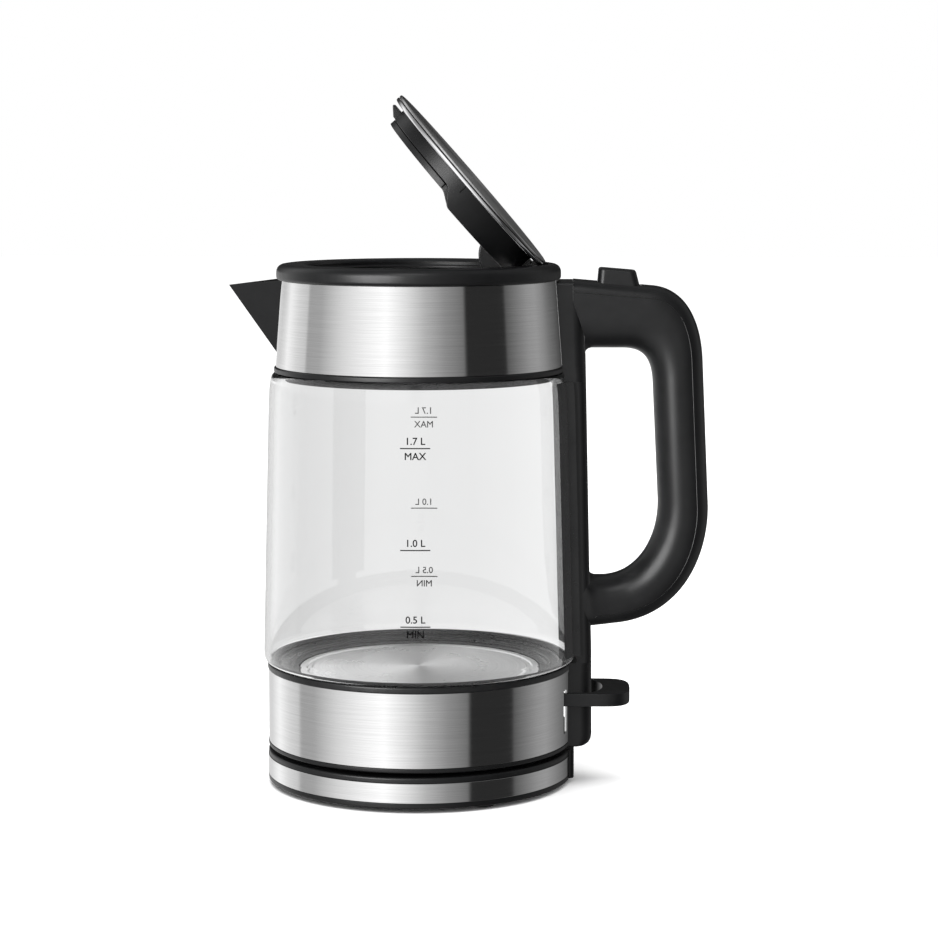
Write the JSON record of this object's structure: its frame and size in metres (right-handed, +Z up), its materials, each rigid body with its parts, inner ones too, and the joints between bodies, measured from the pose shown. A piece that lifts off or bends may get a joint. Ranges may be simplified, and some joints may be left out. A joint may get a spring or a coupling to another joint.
{
  "type": "electric kettle",
  "caption": "Cordless glass electric kettle with steel bands, black handle, hinged lid held open and a round power base.",
  "frame": {"origin": "centre of the flat underside of the power base", "axes": "+Z up; +X towards the handle and the cord outlet; -X towards the spout; the part is symmetric about Y = 0"},
  "size_m": [0.2267, 0.1484, 0.3254],
  "materials": {
    "black_plastic": "satin, fine moulded grain",
    "inner_plastic": "matte moulded",
    "brushed_steel": "brushed around the body",
    "plate_steel": "fine turned",
    "polished_steel": "polished",
    "glass": "clear borosilicate glass",
    "silicone": "matte food-grade silicone",
    "rubber": "matte",
    "brass": "bare contact metal",
    "aluminium": "as cast"
  },
  "bodies": {
    "power_base": {"base_bottom_cover": "black_plastic", "base_steel_band": "brushed_steel", "base_top_cover": "black_plastic", "cord_outlet": "black_plastic", "base_connector": "inner_plastic", "contact_ring_outer": "brass", "contact_ring_inner": "brass", "earth_pin": "brass", "rubber_foot_1": "rubber", "rubber_foot_2": "rubber", "rubber_foot_3": "rubber", "base_screw_1": "polished_steel", "base_screw_2": "polished_steel", "base_screw_3": "polished_steel"},
    "socket": {"connector_socket": "inner_plastic", "socket_blade_outer": "brass", "socket_blade_inner": "brass"},
    "jug": {"jug_bottom_cover": "black_plastic", "lower_steel_band": "brushed_steel", "glass_seat_ring": "inner_plastic", "lower_glass_seal": "silicone", "heating_plate": "plate_steel", "heat_spreader": "aluminium", "heating_element": "aluminium", "thermostat_control": "inner_plastic", "boil_dry_disc": "brass", "switch_pivot_pin": "polished_steel", "glass_body": "glass", "upper_glass_seal": "silicone", "upper_trim_ring": "black_plastic", "upper_steel_band": "brushed_steel", "collar": "black_plastic", "spout": "black_plastic", "filter_frame": "inner_plastic", "filter_mesh": "plate_steel", "hinge_pin": "polished_steel", "lid_spring": "polished_steel", "column": "black_plastic", "glass_saddle": "inner_plastic", "handle_grip": "black_plastic", "handle_cover": "black_plastic", "handle_screw_upper": "polished_steel", "handle_screw_lower": "polished_steel"},
    "lid": {"lid_top_disc": "brushed_steel", "lid_trim_ring": "polished_steel", "lid_body": "black_plastic", "lid_inner_cover": "inner_plastic", "lid_hinge_arm": "inner_plastic"},
    "latch": {"latch_tongue": "black_plastic", "latch_spring": "polished_steel"},
    "button": {"release_button": "black_plastic", "button_spring": "polished_steel"},
    "slider": {"release_slider": "inner_plastic"},
    "power_switch": {"switch_lever": "black_plastic"}
  },
  "joints": [
    {"name": "jug_lift", "type": "slide", "parent": "power_base", "child": "socket", "axis": [0, 0, 1], "range_m": [0, 0.08]},
    {"name": "jug_swivel", "type": "hinge", "parent": "socket", "child": "jug", "pos_m": [0, 0, 0.0164], "axis": [0, 0, 1], "continuous": true},
    {"name": "lid_hinge", "type": "hinge", "parent": "jug", "child": "lid", "pos_m": [0.05575, 0, 0.2366], "axis": [0, 1, 0], "range_deg": [-49, 0], "stiffness_Nm_per_rad": 0.02, "springref_deg": 114.59},
    {"name": "latch_slide", "type": "slide", "parent": "lid", "child": "latch", "axis": [0.6561, 0, -0.7547], "range_m": [0, 0.0045], "stiffness_N_per_m": 300, "springref_m": -0.003},
    {"name": "button_press", "type": "slide", "parent": "jug", "child": "button", "axis": [0, 0, -1], "range_m": [0, 0.0035], "stiffness_N_per_m": 400, "springref_m": -0.002},
    {"name": "release_slide", "type": "slide", "parent": "jug", "child": "slider", "axis": [-1, 0, 0], "range_m": [0, 0.0035]},
    {"name": "switch_tilt", "type": "hinge", "parent": "jug", "child": "power_switch", "pos_m": [0.039, 0, 0.03975], "axis": [0, 1, 0], "range_deg": [0, 14]}
  ],
  "couplings": [
    {"joint": "release_slide", "follows": "button_press", "ratio": 1}
  ]
}
